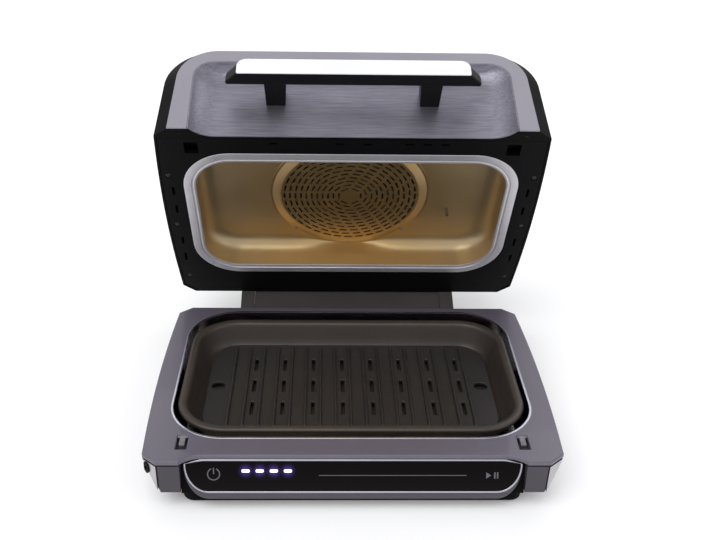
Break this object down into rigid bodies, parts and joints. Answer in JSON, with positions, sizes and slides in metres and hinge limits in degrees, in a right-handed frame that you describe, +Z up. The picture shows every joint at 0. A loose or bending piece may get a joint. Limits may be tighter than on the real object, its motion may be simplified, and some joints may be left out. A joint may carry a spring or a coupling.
{
  "type": "electric indoor grill with hinged lid",
  "caption": "Countertop electric grill: low grey body with a lift-out pot and ribbed plate, sloping touch panel, and a deep hinged lid with heater, fan and bar handle.",
  "frame": {"origin": "worktop level, below the middle of the box round the grill with its lid open", "axes": "+X to the right, +Y from the control panel to the back, +Z up"},
  "size_m": [0.459, 0.4855, 0.4163],
  "materials": {
    "deck_paint": "warm grey satin lacquer",
    "bright_trim": "polished",
    "well_steel": "drawn sheet, satin",
    "housing_plastic": "warm grey satin",
    "side_steel": "brushed, bright",
    "bezel_plastic": "satin",
    "black_plastic": "fine texture",
    "panel_glass": "gloss black touch panel",
    "light_violet": "clear light windows",
    "mark_print": "grey print",
    "board_green": "solder-mask green",
    "foot_rubber": "matt",
    "screw_steel": "plated steel",
    "hinge_paint": "matt black",
    "gland_rubber": "matt",
    "tongue_plastic": "satin",
    "pot_nonstick": "dark brown-grey non-stick coating",
    "plate_nonstick": "dark grey non-stick coating",
    "shell_plastic": "near-black satin",
    "border_paint": "light warm grey satin",
    "face_steel": "brushed left to right",
    "liner_steel": "bright, straw-tinted by heat",
    "heater_tube": "oxidised",
    "sheet_steel": "galvanised",
    "motor_iron": "grey lacquer",
    "handle_plastic": "satin black"
  },
  "bodies": {
    "base": {"deck": "deck_paint", "opening_trim": "bright_trim", "pot_well": "well_steel", "lower_housing": "housing_plastic", "side_panel_left": "side_steel", "side_panel_right": "side_steel", "panel_bezel": "bezel_plastic", "panel_backing": "black_plastic", "panel_trim": "bright_trim", "control_glass": "panel_glass", "light_bars": "light_violet", "panel_marks": "mark_print", "control_board": "board_green", "probe_port": "black_plastic", "bottom_cover": "black_plastic", "feet": "foot_rubber", "body_screws": "screw_steel", "cover_screws": "screw_steel", "hinge_knuckles": "hinge_paint", "hinge_pins": "screw_steel", "cord_gland": "gland_rubber"},
    "tongue_left": {"tongue_left": "tongue_plastic"},
    "tongue_right": {"tongue_right": "tongue_plastic"},
    "pot": {"cooking_pot": "pot_nonstick"},
    "plate": {"grill_plate": "plate_nonstick"},
    "lid": {"lid_shell": "shell_plastic", "face_border": "border_paint", "steel_panel": "face_steel", "rim_frame": "black_plastic", "rim_screws": "screw_steel", "cavity_ring": "bright_trim", "cavity_liner": "liner_steel", "heater_guard": "liner_steel", "guard_rivets": "screw_steel", "heating_element": "heater_tube", "fan_shroud": "sheet_steel", "motor": "motor_iron", "motor_screws": "screw_steel", "temperature_probe": "screw_steel", "rear_vent": "black_plastic", "handle_bar": "handle_plastic", "handle_cap": "bright_trim", "handle_posts": "handle_plastic", "handle_screws": "screw_steel", "hinge_barrel": "hinge_paint"},
    "fan": {"motor_shaft": "screw_steel", "impeller": "sheet_steel", "cooling_fan": "sheet_steel"}
  },
  "joints": [
    {"name": "lid_hinge", "type": "hinge", "parent": "base", "child": "lid", "pos_m": [0, 0.10397, 0.0315], "axis": [1, 0, 0], "range_deg": [0, 64]},
    {"name": "fan_spin", "type": "hinge", "parent": "lid", "child": "fan", "pos_m": [0, 0.11539, 0.24123], "axis": [0, 0.8988, 0.4384], "continuous": true},
    {"name": "pot_lift", "type": "slide", "parent": "base", "child": "pot", "axis": [0, 0, -1], "range_m": [-0.06, 0]},
    {"name": "plate_lift", "type": "slide", "parent": "pot", "child": "plate", "axis": [0, 0, -1], "range_m": [-0.04, 0]},
    {"name": "tongue_left_press", "type": "hinge", "parent": "base", "child": "tongue_left", "pos_m": [-0.185, -0.19553, 0.06025], "axis": [1, 0, 0], "range_deg": [0, 6], "stiffness_Nm_per_rad": 0.1, "springref_deg": -1.72},
    {"name": "tongue_right_press", "type": "hinge", "parent": "base", "child": "tongue_right", "pos_m": [0.185, -0.19553, 0.06025], "axis": [1, 0, 0], "range_deg": [0, 6], "stiffness_Nm_per_rad": 0.1, "springref_deg": -1.72}
  ]
}
